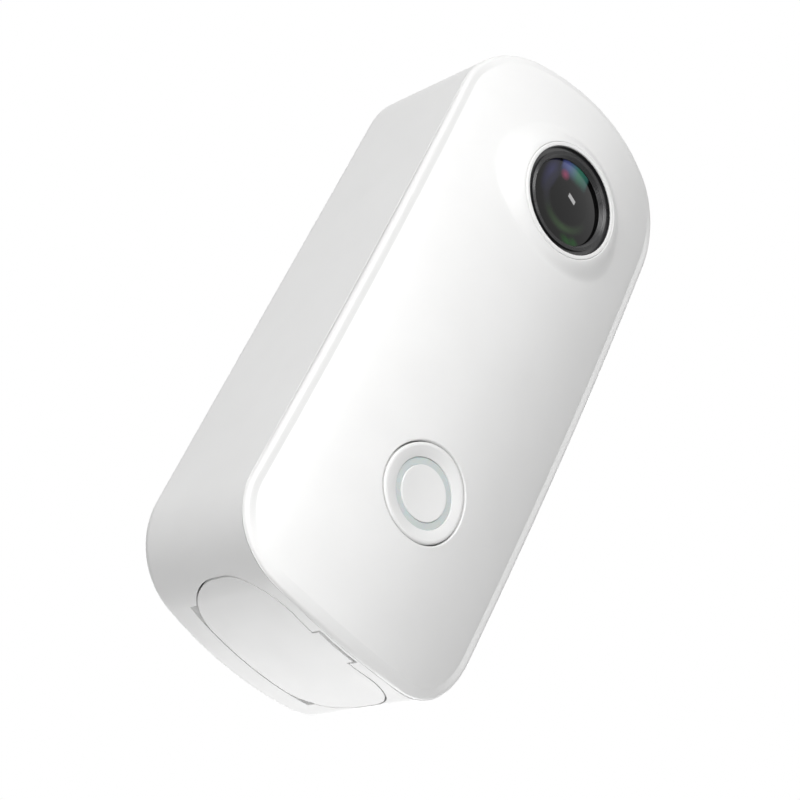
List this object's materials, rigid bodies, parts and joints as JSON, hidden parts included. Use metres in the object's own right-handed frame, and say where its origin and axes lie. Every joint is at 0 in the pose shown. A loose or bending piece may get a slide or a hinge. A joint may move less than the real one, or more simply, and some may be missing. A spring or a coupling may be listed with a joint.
{
  "type": "mini action camera",
  "caption": "Thumb sized white action camera with a domed front, a round lens boss, a dished shutter button, a hinged port door and a flat magnetic back.",
  "frame": {"origin": "The middle of the flat magnetic back.", "axes": "+Y points out of the back, so the lens and the button face -Y; +Z points to the lens end, and the port door is at the -Z end."},
  "size_m": [0.026, 0.0188, 0.0616],
  "materials": {
    "white_plastic": "fine satin texture",
    "light_diffuser": "translucent grey-green",
    "black_plastic": "fine ribs on the bezel",
    "grey_plastic": "plain moulded",
    "coated_glass": "dark, with violet, magenta and green coatings",
    "soft_rubber": "plain moulded",
    "bright_steel": "bright",
    "magnet_plating": "nickel plated",
    "circuit_board": "lacquered board",
    "chip_package": "plain moulded",
    "cell_pouch": "laminated pouch",
    "flex_film": "polyimide film",
    "connector_plastic": "ivory",
    "clear_lamp": "clear moulding"
  },
  "bodies": {
    "camera_body": {"rear_shell": "white_plastic", "front_cover": "white_plastic", "lens_trim_ring": "white_plastic", "lens_bezel": "black_plastic", "lens_barrel": "black_plastic", "lens_holder": "black_plastic", "switch_housing": "black_plastic", "port_panel": "grey_plastic", "battery_tray": "grey_plastic", "lens_front_element": "coated_glass", "lens_second_element": "coated_glass", "lens_rear_element": "coated_glass", "ir_filter": "coated_glass", "cover_gasket": "soft_rubber", "button_seal": "soft_rubber", "hinge_bracket": "bright_steel", "usb_socket": "bright_steel", "microsd_socket": "bright_steel", "shield_can": "bright_steel", "magnet_yoke": "bright_steel", "microphone_mesh": "bright_steel", "board_screw_1": "bright_steel", "board_screw_2": "bright_steel", "board_screw_3": "bright_steel", "board_screw_4": "bright_steel", "back_magnet_upper": "magnet_plating", "back_magnet_lower": "magnet_plating", "main_board": "circuit_board", "sensor_board": "circuit_board", "image_processor": "chip_package", "memory_chip": "chip_package", "wifi_antenna": "chip_package", "microphone": "chip_package", "image_sensor": "chip_package", "battery": "cell_pouch", "sensor_flex": "flex_film", "usb_tongue": "connector_plastic", "board_connector": "connector_plastic", "battery_connector": "connector_plastic", "status_light_1": "clear_lamp", "status_light_2": "clear_lamp", "status_light_3": "clear_lamp", "status_light_4": "clear_lamp"},
    "port_door_body": {"port_door": "white_plastic", "door_seal": "soft_rubber", "door_hinge_pin": "bright_steel"},
    "shutter": {"shutter_button": "white_plastic", "button_light_ring": "light_diffuser", "button_centre": "white_plastic", "switch_plunger": "black_plastic"},
    "card": {"microsd_card": "chip_package"}
  },
  "joints": [
    {"name": "door_swing", "type": "hinge", "parent": "camera_body", "child": "port_door_body", "pos_m": [0, -0.00495, -0.03], "axis": [1, 0, 0], "range_deg": [0, 100]},
    {"name": "shutter_press", "type": "slide", "parent": "camera_body", "child": "shutter", "axis": [0, 1, 0], "range_m": [0, 0.00035], "stiffness_N_per_m": 2000, "springref_m": -0.0002},
    {"name": "card_slide", "type": "slide", "parent": "camera_body", "child": "card", "axis": [0, 0, -1], "range_m": [0, 0.0022]}
  ]
}
